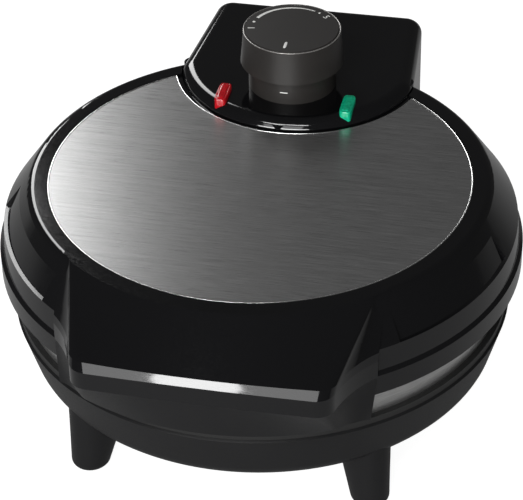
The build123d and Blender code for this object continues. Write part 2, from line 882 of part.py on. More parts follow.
# Control housing: a hollow moulding over the hinge, with the pin bosses on its cheeks
housing_wall_start = shelf_end_y + clearance  # its side walls reach down behind the shelf
housing_outer = upright(housing_plan(0), hinge_z - cheek_radius - 1, panel_top)
housing_hollow = upright(
    housing_plan(-wall), hinge_z - cheek_radius - 2, panel_top - wall
)
lens_places = {"red_lens": -1, "green_lens": 1}
with BuildPart() as housing_side:
    with BuildSketch(Plane.YZ):
        with BuildLine():
            Polyline(
                (hinge_y + cheek_radius, hinge_z),
                (hinge_y + cheek_radius, housing_back_bottom),
                (housing_back_y + 1, housing_back_bottom),
                (housing_back_y + 1, panel_top + 1),
                (housing_front_y - 1, panel_top + 1),
                (housing_front_y - 1, seat_z),
                (housing_wall_start, seat_z),
                (housing_wall_start, lid_bottom + upper_liner_skirt + clearance),
                (cheek_front_y, lid_bottom + upper_liner_skirt + clearance),
                (hinge_y - cheek_radius, hinge_z),
            )
            ThreePointArc(
                (hinge_y - cheek_radius, hinge_z),
                (hinge_y, hinge_z - cheek_radius),
                (hinge_y + cheek_radius, hinge_z),
            )
        make_face()
    extrude(amount=housing_shoulder_x + wall, both=True)

boss_start = barrel_half_width + barrel_gap
with BuildPart() as control_housing:
    add(housing_outer)
    fillet(control_housing.edges().group_by(Axis.Z)[-1], housing_bullnose)
    add(housing_hollow, mode=Mode.SUBTRACT)
    add(housing_side.part, mode=Mode.INTERSECT)
    for side in (-1, 1):
        with BuildSketch(Plane.YZ.offset(side * boss_start)):
            with Locations((hinge_y, hinge_z)):
                Circle(boss_radius)
        extrude(amount=side * (housing_back_x - boss_start))
        with BuildSketch(Plane.YZ.offset(side * boss_start)):
            with Locations((hinge_y, hinge_z)):
                Circle(pin_radius + running_clearance)
        extrude(amount=side * (pin_engagement + clearance), mode=Mode.SUBTRACT)
    with BuildSketch(Plane.XY.offset(seat_z)):
        with Locations(*housing_screw_places):
            Circle(screw_boss_radius - clearance)
    extrude(amount=housing_seat + panel_rise - wall)
    with BuildSketch(Plane.XY.offset(seat_z)):
        with Locations(*housing_screw_places):
            Circle(screw_hole)
    extrude(amount=screw_depth, mode=Mode.SUBTRACT)
    with BuildSketch(Plane.XY.offset(panel_top)):
        with Locations((0, knob_y)):
            Circle(shaft_radius + 2 * clearance)
        with Locations((lens_x, lens_y), (-lens_x, lens_y)):
            Rectangle(lens_stem_width + clearance, lens_stem_length + clearance)
    extrude(amount=-2 * wall, mode=Mode.SUBTRACT)
save(control_housing.part, "control_housing")

for label, side in lens_places.items():
    with BuildPart() as lens:
        with BuildSketch(Plane.XY.offset(panel_top)):
            with Locations((side * lens_x, lens_y)):
                RectangleRounded(lens_width, lens_length, lens_corner)
        extrude(amount=lens_proud)
        fillet(lens.edges().group_by(Axis.Z)[-1], lens_edge)
        with BuildSketch(Plane.XY.offset(panel_top)):
            with Locations((side * lens_x, lens_y)):
                Rectangle(lens_stem_width, lens_stem_length)
        extrude(amount=-lens_stem)
    save(lens.part, label)

with BuildPart() as indicator_lamps:
    with BuildSketch(Plane.XY.offset(panel_top - lens_stem)):
        with Locations((lens_x, lens_y), (-lens_x, lens_y)):
            Circle(lamp_radius)
    extrude(amount=-lamp_length)
    fillet(indicator_lamps.edges().group_by(Axis.Z)[-1], 1.0)
save(indicator_lamps.part, "indicator_lamps")

with BuildPart() as knob_collar:
    with BuildSketch(Plane.XY.offset(panel_top)):
        with Locations((0, knob_y)):
            Circle(collar_radius)
            Circle(shaft_radius + 2 * clearance, mode=Mode.SUBTRACT)
    extrude(amount=collar_height)
save(knob_collar.part, "knob_collar")

knob_bottom = panel_top + collar_height + knob_gap
with BuildPart() as knob:
    with BuildSketch(Plane.XY.offset(knob_bottom)):
        with Locations((0, knob_y)):
            Circle(knob_skirt_radius)
    with BuildSketch(Plane.XY.offset(knob_bottom + knob_height)):
        with Locations((0, knob_y)):
            Circle(knob_radius)
    loft()
    chamfer(knob.edges().group_by(Axis.Z)[-1], knob_chamfer)
    with BuildSketch(Plane.XY.offset(knob_bottom)):
        with Locations((0, knob_y)):
            Circle(shaft_radius + press_clearance)
    extrude(amount=shaft_depth_in_knob, mode=Mode.SUBTRACT)
save(knob.part, "knob")

thermostat_base = upper_pan_floor
shaft_bottom = thermostat_base + thermostat_height - 5
with BuildPart() as thermostat:
    with BuildSketch(Plane.XY.offset(thermostat_base)):
        with Locations((0, knob_y)):
            RectangleRounded(thermostat_width, thermostat_depth, 2)
    extrude(amount=thermostat_height)
    with BuildSketch(Plane.XY.offset(thermostat_base + thermostat_height)):
        with Locations((0, knob_y)):
            Circle(2 * shaft_radius)
    extrude(amount=3)
    with BuildSketch(Plane.XY.offset(shaft_bottom)):
        with Locations((0, knob_y)):
            Circle(shaft_radius + running_clearance)
    extrude(amount=thermostat_height, mode=Mode.SUBTRACT)
save(thermostat.part, "thermostat")

with BuildPart() as thermostat_shaft:
    with BuildSketch(Plane.XY.offset(shaft_bottom)):
        with Locations((0, knob_y)):
            Circle(shaft_radius)
    extrude(amount=knob_bottom + shaft_depth_in_knob - shaft_bottom)
save(thermostat_shaft.part, "thermostat_shaft")
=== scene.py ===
# %% [markdown]
# # A waffle maker for five hearts
#
# This notebook dresses a finished waffle maker: glossy black lid, brushed steel inlay, a matt bowl on four
# feet and two cast plates between them. The sizes come from the construction model, which is loaded first
# and never changed. What is added here is finish: how each surface takes light, and the small printed,
# cut and pressed details that are too fine for the construction model.

# %% Load the construction model
import math

import bmesh
import bpy
import numpy as np
from mathutils import Matrix, Vector


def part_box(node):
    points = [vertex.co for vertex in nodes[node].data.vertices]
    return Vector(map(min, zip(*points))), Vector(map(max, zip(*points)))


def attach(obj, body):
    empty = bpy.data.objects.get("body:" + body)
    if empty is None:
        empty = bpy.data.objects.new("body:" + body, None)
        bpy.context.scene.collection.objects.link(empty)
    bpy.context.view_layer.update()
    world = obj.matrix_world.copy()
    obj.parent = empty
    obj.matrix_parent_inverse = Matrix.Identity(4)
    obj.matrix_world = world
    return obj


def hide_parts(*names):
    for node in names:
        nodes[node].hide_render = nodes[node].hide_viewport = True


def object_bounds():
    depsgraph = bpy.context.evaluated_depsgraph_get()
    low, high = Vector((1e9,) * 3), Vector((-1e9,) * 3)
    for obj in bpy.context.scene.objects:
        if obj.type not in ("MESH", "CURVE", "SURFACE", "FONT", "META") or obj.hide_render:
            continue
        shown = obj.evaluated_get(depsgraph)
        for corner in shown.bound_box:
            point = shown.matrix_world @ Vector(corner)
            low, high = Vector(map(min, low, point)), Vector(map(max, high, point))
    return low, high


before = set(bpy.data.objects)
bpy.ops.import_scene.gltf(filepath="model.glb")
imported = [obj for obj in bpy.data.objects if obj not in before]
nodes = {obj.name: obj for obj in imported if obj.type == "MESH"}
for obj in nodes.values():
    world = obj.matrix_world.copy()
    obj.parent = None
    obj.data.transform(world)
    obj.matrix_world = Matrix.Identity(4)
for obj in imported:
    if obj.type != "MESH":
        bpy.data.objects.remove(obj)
cad_low, cad_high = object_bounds()
scene = bpy.context.scene
MM = 0.001
lengths = [round((high - low) / MM) for low, high in zip(cad_low, cad_high)]
print("pieces in the frame:", len(nodes), "box in mm:", lengths)

# %% [markdown]
# ## Where things are
#
# Every place below is read from the model, so a detail stays on its piece if a size changes: the steel
# disc's top face, the centre and the height of the dial, and the upright axis of the round body.

# %% Places read from the model
inlay_low, inlay_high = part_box("lid_inlay")
knob_low, knob_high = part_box("knob")
collar_low, collar_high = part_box("knob_collar")
inlay_top = inlay_high[2]
knob_centre = ((knob_low[0] + knob_high[0]) / 2, (knob_low[1] + knob_high[1]) / 2)
knob_top = knob_high[2]
plate_low, plate_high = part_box("lower_plate")
axis_place = ((plate_low[0] + plate_high[0]) / 2, (plate_low[1] + plate_high[1]) / 2)
print("axis of the round body at", [round(c / MM, 1) for c in axis_place], "mm")
print("steel disc at", round(inlay_top / MM, 1), "mm, dial face at", round(knob_top / MM, 1), "mm")

# %% [markdown]
# ## Camera
#
# The picture was taken from in front and a little to the right, looking down, with a long lens. The camera
# turns round the middle of the steel disc: a direction, a distance and a small roll are all it needs. The
# lens is given through the picture's width, as a ratio of focal length to width.

# %% Camera
CAMERA_AZIMUTH = math.radians(12.64)
CAMERA_ELEVATION = math.radians(35.87)
CAMERA_ROLL = math.radians(-1.16)
CAMERA_DISTANCE = 0.93828
FOCAL_TO_WIDTH = 2217.56 / 523
SENSOR_WIDTH = 36.0
CAMERA_OFFSET = (0.00056, -0.03188)  # metres to the right and up, square to the view
FAR_CLIP = 20  # metres, past the far edge of the floor

back = Vector((
    math.sin(CAMERA_AZIMUTH) * math.cos(CAMERA_ELEVATION),
    -math.cos(CAMERA_AZIMUTH) * math.cos(CAMERA_ELEVATION),
    math.sin(CAMERA_ELEVATION),
))
level_right = Vector((math.cos(CAMERA_AZIMUTH), math.sin(CAMERA_AZIMUTH), 0))
level_up = back.cross(level_right)
right = level_right * math.cos(CAMERA_ROLL) + level_up * math.sin(CAMERA_ROLL)
up = back.cross(right)
camera_data = bpy.data.cameras.new("camera")
camera_data.sensor_width = SENSOR_WIDTH
camera_data.lens = FOCAL_TO_WIDTH * SENSOR_WIDTH
camera_data.clip_end = FAR_CLIP
camera = bpy.data.objects.new("camera", camera_data)
scene.collection.objects.link(camera)
spot = (
    Vector((*axis_place, inlay_top)) + back * CAMERA_DISTANCE
    + right * CAMERA_OFFSET[0] + up * CAMERA_OFFSET[1]
)
turn = Matrix((right, up, back)).transposed()
camera.matrix_world = Matrix.Translation(spot) @ turn.to_4x4()
scene.camera = camera
print("camera at", [round(c, 3) for c in spot], "lens", round(camera_data.lens, 1))

# %% [markdown]
# ## Materials: the common tools
#
# A finish is a small net of nodes that ends in one Principled shader. Three short helpers save typing: one
# starts a material and sets the shader's plain numbers on its own sockets, one adds a node and one joins
# two sockets.

# %% A material and its nodes


def new_material(name, colour, roughness, metallic=0.0):
    """A material with one Principled shader: its plain numbers are set on the shader's sockets."""
    material = bpy.data.materials.new(name)
    material.use_nodes = True
    shader = material.node_tree.nodes["Principled BSDF"]
    shader.inputs["Base Color"].default_value = (*colour, 1)
    shader.inputs["Roughness"].default_value = roughness
    shader.inputs["Metallic"].default_value = metallic
    return material, shader


def add_node(material, kind, **settings):
    """One node of the given kind, with its settings."""
    node = material.node_tree.nodes.new(kind)
    for key, value in settings.items():
        setattr(node, key, value)
    return node


def link(material, source, target):
    """Joins an output socket to an input socket."""
    material.node_tree.links.new(source, target)


# %% [markdown]
# ## Materials: patterns
#
# Every pattern here is noise read from Object coordinates. They are metres in the model's own frame, so a
# grain keeps its real size, and it stays in the plastic when the piece turns on its hinge. Stretching one
# axis turns round lumps into long lines.

# %% Patterns of a real size


def place(material, stretch=(1, 1, 1), centre=(0, 0, 0)):
    """Object coordinates measured from a centre, each axis stretched by a factor."""
    coordinates = add_node(material, "ShaderNodeTexCoord")
    mapping = add_node(material, "ShaderNodeMapping")
    mapping.inputs["Scale"].default_value = stretch
    mapping.inputs["Location"].default_value = [-c * k for c, k in zip(centre, stretch)]
    link(material, coordinates.outputs["Object"], mapping.inputs["Vector"])
    return mapping.outputs["Vector"]


def noise(material, vector, size_mm, detail=2.0, roughness=0.5):
    """Noise whose lumps are about size_mm across, as a value from 0 to 1."""
    node = add_node(material, "ShaderNodeTexNoise")
    node.inputs["Scale"].default_value = 1 / (size_mm * MM)
    node.inputs["Detail"].default_value = detail
    node.inputs["Roughness"].default_value = roughness
    link(material, vector, node.inputs["Vector"])
    return node.outputs["Fac"]


def spread(material, value, low, high, from_low=0.3, from_high=0.7):
    """The value's middle range, from_low to from_high, carried to low..high."""
    node = add_node(material, "ShaderNodeMapRange")
    ends = {"From Min": from_low, "From Max": from_high, "To Min": low, "To Max": high}
    for key, number in ends.items():
        node.inputs[key].default_value = number
    link(material, value, node.inputs["Value"])
    return node.outputs["Result"]


# %% [markdown]
# ## Materials: colour and relief
#
# A pattern does its work in two ways. It can lead a colour from one shade to another, and it can tilt the
# light on the surface as real relief does. A bump is chosen over true relief because these grains are a few
# hundredths of a millimetre deep.

# %% Colour and relief


def blend_colours(material, factor, first, second):
    """A colour between two, by a factor from 0 to 1. Either may be a colour or a node's output."""
    mix = add_node(material, "ShaderNodeMix", data_type="RGBA")
    link(material, factor, mix.inputs["Factor"])
    for socket, colour in ((mix.inputs["A"], first), (mix.inputs["B"], second)):
        if isinstance(colour, tuple):
            socket.default_value = (*colour, 1)
        else:
            link(material, colour, socket)
    return mix.outputs["Result"]


def bump(material, shader, value, depth_mm, strength=1.0):
    """Relief from a value: depth_mm is its height from 0 to 1."""
    node = add_node(material, "ShaderNodeBump")
    node.inputs["Distance"].default_value = depth_mm * MM
    node.inputs["Strength"].default_value = strength
    link(material, value, node.inputs["Height"])
    link(material, node.outputs["Normal"], shader.inputs["Normal"])


# %% [markdown]
# ## Piano-black lid
#
# The lid, the handle's top and the control housing are one glossy black moulding colour. Real piano black
# is never a perfect mirror: the mould's polish leaves a slow ripple, and wiping leaves hair-fine scratches
# that show only beside a highlight. So the colour is almost black, the roughness low, and two faint noises
# do the rest: a wide one for the ripple and a fine stretched one for the wiping marks.

# %% Gloss black
RIPPLE_SIZE, RIPPLE_DEPTH = 28, 0.08  # mm
WIPING_SIZE = 0.35  # mm across the marks, which are four times as long
gloss_black, shader = new_material("gloss_black", (0.004, 0.004, 0.0045), 0.07)
shader.inputs["IOR"].default_value = 1.5
ripple = noise(gloss_black, place(gloss_black), RIPPLE_SIZE, detail=1)
wiping = noise(gloss_black, place(gloss_black, (0.25, 1, 1)), WIPING_SIZE, detail=3)
link(gloss_black, spread(gloss_black, wiping, 0.05, 0.12), shader.inputs["Roughness"])
bump(gloss_black, shader, ripple, RIPPLE_DEPTH, 0.35)
print("gloss black: ripple", RIPPLE_SIZE, "mm wide, wiping marks", WIPING_SIZE, "mm wide")

# %% [markdown]
# ## Matt black plastic
#
# The bowl, its feet and the handle's grip have the fine leathery grain of a spark-eroded mould. The grain
# is a noise of under half a millimetre, shallow enough to blur reflections and not to look rough. A wide
# faint noise keeps the grey from being the same everywhere.

# %% Matt black
MATT_GRAIN = 0.45  # mm
matt_black, shader = new_material("matt_black", (0.008, 0.008, 0.0085), 0.42)
shader.inputs["Specular IOR Level"].default_value = 0.22
grain = noise(matt_black, place(matt_black), MATT_GRAIN, detail=3, roughness=0.6)
clouds = noise(matt_black, place(matt_black), 35, detail=2)
link(matt_black, blend_colours(matt_black, clouds, (0.006, 0.006, 0.0065), (0.011, 0.011, 0.0115)),
     shader.inputs["Base Color"])
link(matt_black, spread(matt_black, grain, 0.36, 0.5), shader.inputs["Roughness"])
bump(matt_black, shader, grain, 0.05, 0.5)
print("matt black: grain", MATT_GRAIN, "mm")

# %% [markdown]
# ## Brushed steel
#
# The inlay is sheet steel brushed from side to side. Each bristle leaves a long groove, far narrower than
# a millimetre. Noise stretched more than a hundred times along X gives such lines, at two widths. They tint
# the steel, and the fine ones change its roughness and cut a very shallow relief. The shader's anisotropy
# then spreads highlights across the lines, which no affordable number of grooves would do by itself.

# %% Brushed steel
BRUSH_STRETCH = 0.008
FINE_LINE, BROAD_LINE = 0.11, 0.9  # mm across
steel, shader = new_material("brushed_steel", (0.5, 0.5, 0.5), 0.34, 1.0)
lines = place(steel, (BRUSH_STRETCH, 1, 1))
fine_lines = noise(steel, lines, FINE_LINE, detail=4, roughness=0.7)
broad_lines = noise(steel, lines, BROAD_LINE, detail=2)
tint = blend_colours(steel, fine_lines, (0.36, 0.36, 0.36), (0.72, 0.72, 0.72))
tint_node = add_node(steel, "ShaderNodeMix", data_type="RGBA", blend_type="MULTIPLY")
tint_node.inputs["Factor"].default_value = 0.35
link(steel, tint, tint_node.inputs["A"])
link(steel, broad_lines, tint_node.inputs["B"])
link(steel, tint_node.outputs["Result"], shader.inputs["Base Color"])
link(steel, spread(steel, fine_lines, 0.24, 0.36), shader.inputs["Roughness"])
shader.inputs["Anisotropic"].default_value = 0.75
shader.inputs["Anisotropic Rotation"].default_value = 0.25
along_x = add_node(steel, "ShaderNodeCombineXYZ")
along_x.inputs["X"].default_value = 1
link(steel, along_x.outputs["Vector"], shader.inputs["Tangent"])
bump(steel, shader, fine_lines, 0.012, 0.4)
print("brushed steel: lines of", FINE_LINE, "and", BROAD_LINE, "mm, length by", round(1 / BRUSH_STRETCH))

# %% [markdown]
# ## Dial plastic
#
# The dial and its collar are dark grey satin plastic, slightly warm, with a very fine grain. The chain is
# the matt black's with a finer grain and a warmer colour, so the two plastics read as different mouldings.

# %% Satin grey
SATIN_GRAIN = 0.3  # mm
satin_grey, shader = new_material("satin_grey", (0.02, 0.018, 0.0165), 0.4)
shader.inputs["Specular IOR Level"].default_value = 0.3
grain = noise(satin_grey, place(satin_grey), SATIN_GRAIN, detail=3, roughness=0.6)
clouds = noise(satin_grey, place(satin_grey), 14, detail=2)
link(satin_grey, blend_colours(satin_grey, clouds, (0.017, 0.0155, 0.0145), (0.023, 0.021, 0.0195)),
     shader.inputs["Base Color"])
link(satin_grey, spread(satin_grey, grain, 0.36, 0.47), shader.inputs["Roughness"])
bump(satin_grey, shader, grain, 0.03, 0.4)
print("satin grey: grain", SATIN_GRAIN, "mm")

# %% [markdown]
# ## Cast plates
#
# Each plate is die-cast aluminium. Its outer rim is bare, with faint lines round its upright side from the
# lathe that trimmed it. The cooking face is sprayed with a dark non-stick coat that has a soft speckle. One
# material holds both, told apart by the distance from the plate's axis: bare beyond the coated radius.

# %% Cast aluminium with a non-stick coat
COATED_RADIUS = 0.1005  # metres
COAT_EDGE = 0.0002  # metres, half the width over which the coat thins out
plate_metal, shader = new_material("plate_metal", (0.6, 0.6, 0.6), 0.4, 1.0)
flat = place(plate_metal, (1, 1, 0), (*axis_place, 0))
length = add_node(plate_metal, "ShaderNodeVectorMath", operation="LENGTH")
link(plate_metal, flat, length.inputs[0])
bare = spread(
    plate_metal, length.outputs["Value"], 0, 1, COATED_RADIUS - COAT_EDGE, COATED_RADIUS + COAT_EDGE
)
speckle = noise(plate_metal, place(plate_metal), 0.5, detail=4, roughness=0.7)
lathe = noise(plate_metal, place(plate_metal, (0.05, 0.05, 1)), 0.35, detail=3)
coat = blend_colours(plate_metal, speckle, (0.018, 0.018, 0.019), (0.04, 0.04, 0.041))
metal = blend_colours(plate_metal, lathe, (0.36, 0.36, 0.36), (0.72, 0.72, 0.71))
link(plate_metal, blend_colours(plate_metal, bare, coat, metal), shader.inputs["Base Color"])
link(plate_metal, bare, shader.inputs["Metallic"])
link(plate_metal, spread(plate_metal, speckle, 0.32, 0.5), shader.inputs["Roughness"])
bump(plate_metal, shader, lathe, 0.06, 0.5)
print("plates coated to", round(COATED_RADIUS / MM, 1), "mm from the axis")

# %% [markdown]
# ## Rubber and small metal
#
# The hidden and small pieces share one recipe: a colour with a fine speckle in its shade, its roughness and
# its relief. It serves rubber pads, zinc-plated screws, a heat-stained heating tube, pressed sheet, ceramic
# and nylon, each with its own numbers.

# %% Small finishes


def speckled(name, colour, roughness, metallic=0.0, size_mm=0.5, depth_mm=0.02, contrast=0.25):
    """A finish of one colour with a fine speckle in its shade, its roughness and its relief."""
    material, shader = new_material(name, colour, roughness, metallic)
    value = noise(material, place(material), size_mm, detail=3, roughness=0.6)
    dark = tuple(c * (1 - contrast) for c in colour)
    light = tuple(min(1, c * (1 + contrast)) for c in colour)
    link(material, blend_colours(material, value, dark, light), shader.inputs["Base Color"])
    rough = spread(material, value, roughness * 0.85, roughness * 1.15)
    link(material, rough, shader.inputs["Roughness"])
    bump(material, shader, value, depth_mm, 0.4)
    return material


rubber = speckled("rubber", (0.03, 0.03, 0.03), 0.7)
liner_black = speckled("liner_black", (0.012, 0.012, 0.012), 0.5)
zinc = speckled("zinc_plate", (0.55, 0.55, 0.56), 0.32, 1.0, size_mm=1.0)
turned_steel = speckled("turned_steel", (0.5, 0.5, 0.5), 0.25, 1.0)
hot_steel = speckled("heat_stained_steel", (0.22, 0.2, 0.18), 0.45, 1.0, size_mm=3, contrast=0.4)
sheet = speckled("pressed_sheet", (0.5, 0.5, 0.5), 0.38, 1.0, size_mm=2)
ceramic = speckled("ceramic", (0.72, 0.69, 0.62), 0.35)
nylon = speckled("black_nylon", (0.015, 0.015, 0.015), 0.45)
print("small finishes:", ", ".join(m.name for m in (rubber, liner_black, zinc, turned_steel)))
print("and:", ", ".join(m.name for m in (hot_steel, sheet, ceramic, nylon)))

# %% [markdown]
# ## Lens plastic
#
# The two lamp lenses are clear coloured plastic over a pale diffuser. They look faintly lit even when the
# lamps are off, so the shader lets a part of the light through, keeps most of its colour and adds a small
# painted glow. A shallow uneven relief stands for the diffuser's moulded pattern.

# %% Coloured lens


def lens_material(name, colour):
    """Clear coloured plastic with a small uneven relief, paler where the relief is high."""
    material, shader = new_material(name, colour, 0.12)
    shader.inputs["Transmission Weight"].default_value = 0.25
    # the emission is a painted glow: the lamps are not lit
    shader.inputs["Emission Color"].default_value = (*colour, 1)
    shader.inputs["Emission Strength"].default_value = 0.12
    shader.inputs["IOR"].default_value = 1.49
    relief = noise(material, place(material, (1, 1, 0.3)), 1.1, detail=1)
    pale = tuple(min(1, c * 1.5 + 0.01) for c in colour)
    link(material, blend_colours(material, spread(material, relief, 0, 1), colour, pale),
         shader.inputs["Base Color"])
    bump(material, shader, relief, 0.3, 0.6)
    return material


red = lens_material("red_plastic", (0.4, 0.003, 0.008))
green = lens_material("green_plastic", (0.0, 0.36, 0.19))
lamp_glass = lens_material("lamp_glass", (0.6, 0.5, 0.42))
print("lens plastics:", red.name, green.name, lamp_glass.name)

# %% [markdown]
# ## Dressing the pieces
#
# Every piece of the model gets its finish through its material slot. The table is written out by name, so
# that a piece without a finish shows up at once in the printed list. The meshes themselves stay as loaded.

# %% Give every piece its finish
finishes = {
    "base_shell": matt_black, "foot_pads": rubber, "base_liner": liner_black, "base_screws": zinc,
    "hinge_pins": turned_steel, "cord_gland": nylon, "terminal_block": ceramic, "thermal_fuse": sheet,
    "lower_plate": plate_metal, "lower_element": hot_steel, "lower_pan": sheet,
    "lid_shell": gloss_black, "handle_grip": matt_black, "lid_inlay": steel, "lid_liner": liner_black,
    "upper_plate": plate_metal, "upper_element": hot_steel, "upper_pan": sheet,
    "upper_plate_screws": zinc, "housing_screws": zinc, "handle_screws": zinc,
    "control_housing": gloss_black, "red_lens": red, "green_lens": green, "indicator_lamps": lamp_glass,
    "knob_collar": satin_grey, "thermostat": ceramic, "knob": satin_grey, "thermostat_shaft": turned_steel,
}
for name, obj in nodes.items():
    obj.data.materials.clear()
    obj.data.materials.append(finishes[name])
print("finishes given:", len(finishes), "left bare:", sorted(set(nodes) - set(finishes)))

# %% [markdown]
# ## Small pieces
#
# What follows is too fine for the construction model: the rolled edge of the steel, the print on the dial
# and the lens windows. Their points are worked out with numpy, as rows of a grid, and the grid's faces are
# numbered here once for all. The first helper puts points and faces into the scene on a moving body.

# %% From points to a piece


def make_piece(name, points, faces, material, body):
    """A mesh piece from its points and faces, smooth shaded, riding on a body."""
    mesh = bpy.data.meshes.new(name)
    mesh.from_pydata(points.tolist(), [], [list(map(int, face)) for face in faces])
    mesh.polygons.foreach_set("use_smooth", np.ones(len(mesh.polygons), dtype=bool))
    mesh.validate()
    mesh.materials.append(material)
    piece = bpy.data.objects.new(name, mesh)
    scene.collection.objects.link(piece)
    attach(piece, body)
    return piece


def quads_between(rows, columns, close_rows=False):
    """Faces that join a grid of rows x columns points, closed round each row."""
    row = np.arange(rows if close_rows else rows - 1)[:, None] * columns
    column = np.arange(columns)[None, :]
    ahead = (column + 1) % columns
    above = (row + columns) % (rows * columns)
    return np.stack([row + column, row + ahead, above + ahead, above + column], -1).reshape(-1, 4)


# %% [markdown]
# ## Small pieces: a bead along a path
#
# Ink lines and rolled edges are the same shape: a low rounded bead that follows a path. A curve with a
# bevel could draw it. A computed tube is chosen because its width can swell along the path, and because it
# comes out closed, with its faces outwards.

# %% Bead
BEAD_SIDES = 10


def bead(name, path, widths, heights, material, body, closed=False):
    """A low rounded bead along a path, like a line of thick paint or a rolled edge.

    At each point of the path the section is a circle squeezed to the local width and height:
    sideways w/2 cos(t), upwards h/2 sin(t), for t round the circle. The ends are capped.
    """
    sides = BEAD_SIDES
    path = np.asarray(path, dtype=float)
    ahead = np.roll(path, -1, 0) - np.roll(path, 1, 0) if closed else np.gradient(path, axis=0)
    ahead /= np.linalg.norm(ahead, axis=1, keepdims=True)
    sideways = np.stack([-ahead[:, 1], ahead[:, 0], np.zeros(len(path))], -1)
    turn = np.linspace(0, 2 * np.pi, sides, endpoint=False)
    widths = np.broadcast_to(widths, len(path))[:, None, None]
    heights = np.broadcast_to(heights, len(path))[:, None, None]
    points = (
        path[:, None, :]
        + sideways[:, None, :] * widths / 2 * np.cos(turn)[None, :, None]
        + np.array([0, 0, 1.0]) * heights / 2 * np.sin(turn)[None, :, None]
    ).reshape(-1, 3)
    faces = quads_between(len(path), sides, closed).tolist()
    if not closed:
        faces.append(list(range(sides))[::-1])
        faces.append(list(range(len(points) - sides, len(points))))
    return make_piece(name, points, faces, material, body)


def around(centre, radius, degrees, height):
    """Points on a level circle about a centre, at angles in degrees from +X."""
    angles = np.radians(degrees)
    return np.stack([
        centre[0] + radius * np.cos(angles), centre[1] + radius * np.sin(angles),
        np.full(len(angles), height),
    ], -1)


# %% [markdown]
# ## Rolled edge of the steel
#
# A thin bright line runs round the inlay. The sheet's cut edge is rolled and polished, so it catches the
# light where the brushed face doesn't. Its path is read from the inlay's own top face: the points inside
# the disc's radius lie along the cut for the control housing and the others on the circle.

# %% Outline of the inlay
LEVEL_MARGIN, RIM_MARGIN = 0.05 * MM, 0.1 * MM  # how near to the top face, and to the circle, a point lies
LOOP_POINTS = 900
inlay_mesh = nodes["lid_inlay"].data
inlay_points = np.empty(len(inlay_mesh.vertices) * 3)
inlay_mesh.vertices.foreach_get("co", inlay_points)
inlay_points = np.unique(inlay_points.reshape(-1, 3).round(6), axis=0)
top_points = inlay_points[inlay_points[:, 2] > inlay_top - LEVEL_MARGIN][:, :2] - axis_place
radii = np.linalg.norm(top_points, axis=1)
on_circle = radii > radii.max() - RIM_MARGIN
cut = top_points[~on_circle]
cut = cut[cut[:, 0].argsort()]
circle = top_points[on_circle]
angles = np.degrees(np.arctan2(circle[:, 1], circle[:, 0]))
circle = circle[((90 - angles) % 360).argsort()]
outline = np.concatenate([cut, circle])
steps = np.linalg.norm(np.roll(outline, -1, 0) - outline, axis=1)
along = np.concatenate([[0], np.cumsum(steps)])
even = np.linspace(0, along[-1], LOOP_POINTS, endpoint=False)
loop = np.stack([np.interp(even, along, np.append(outline[:, i], outline[0, i])) for i in (0, 1)], -1)
print("outline:", len(cut), "points along the cut and", len(circle), "on the circle")

# %% [markdown]
# The outline's points are spaced unevenly, which is why they were laid out again at even steps. A bead then
# runs along them, its middle just under the steel's face, so that a little less than half of it shows.

# %% Edge of the inlay
EDGE_WIDTH, EDGE_HEIGHT, EDGE_SINK = 0.75 * MM, 0.5 * MM, 0.04 * MM
polished = speckled("polished_edge", (0.86, 0.86, 0.85), 0.22, 1.0, size_mm=4, depth_mm=0.002, contrast=0.05)
loop = np.column_stack([loop + axis_place, np.full(len(loop), inlay_top - EDGE_SINK)])
edge = bead("inlay_edge", loop, EDGE_WIDTH, EDGE_HEIGHT, polished, "lid", closed=True)
print("inlay edge:", round(along[-1] / MM), "mm long,", len(edge.data.polygons), "faces")

# %% [markdown]
# ## Print on the dial
#
# The dial carries white pad print: a line that thins steadily from the low end to the high end, a dot at
# each end with a plain number by it, and a short mark at the front, over a matching tick on the collar. Ink
# stands a few hundredths of a millimetre proud, which is enough to soften its edges in the light.

# %% Dial print
FACE_SHARE = 0.89  # the flat top's part of the dial's radius, inside its taper and chamfer
PRINT_SHARE = 0.87  # where the print lies, as a part of the flat top's radius
INK = 0.08 * MM
ink = speckled("white_ink", (0.8, 0.8, 0.78), 0.5, size_mm=0.3, depth_mm=0.01, contrast=0.08)
face_radius = (knob_high[0] - knob_low[0]) / 2 * FACE_SHARE
print_radius = PRINT_SHARE * face_radius
ink_height = knob_top + 0.01 * MM
LINE_POINTS = 90
scale_line = np.linspace(66, 160, LINE_POINTS)
bead("scale_line", around(knob_centre, print_radius, scale_line, ink_height),
     np.linspace(0.5, 1.5, LINE_POINTS) * MM, INK, ink, "knob")
print("print at", round(print_radius / MM, 1), "mm from the dial's centre, ink", INK / MM, "mm thick")

# %% [markdown]
# Each mark and dot is a short stroke that points at the centre of the dial. Its width follows the square
# root of 1 - s^6 from end to end, which keeps the middle full and rounds the ends as a printing pad does.

# %% Mark and dots
STROKE_POINTS = 25
stroke = np.sqrt(np.clip(1 - np.linspace(-1, 1, STROKE_POINTS) ** 6, 0.02, 1))
for name, degrees, near, far, width in (  # the stroke's two ends are parts of the flat top's radius
    ("dial_mark", -90, 0.60, 0.86, 1.25),
    ("low_dot", 172, 0.84, 0.9, 1.2),
    ("high_dot", 58, 0.845, 0.895, 1.0),
):
    ray = [math.cos(math.radians(degrees)), math.sin(math.radians(degrees))]
    middles = np.array(knob_centre) + np.linspace(near, far, STROKE_POINTS)[:, None] * face_radius * ray
    middles = np.column_stack([middles, np.full(STROKE_POINTS, ink_height)])
    bead(name, middles, stroke * width * MM, INK, ink, "knob")
    print(name, "at", degrees, "degrees,", width, "mm wide")

# %% [markdown]
# The two ends of the scale carry plain numbers. A text object is the easiest source of a digit's outline.
# It is turned into a mesh before it gets its place, its doubled points are merged and its faces are turned
# outwards, so that it is a closed solid as the other marks are.

# %% Numbers and the collar's tick


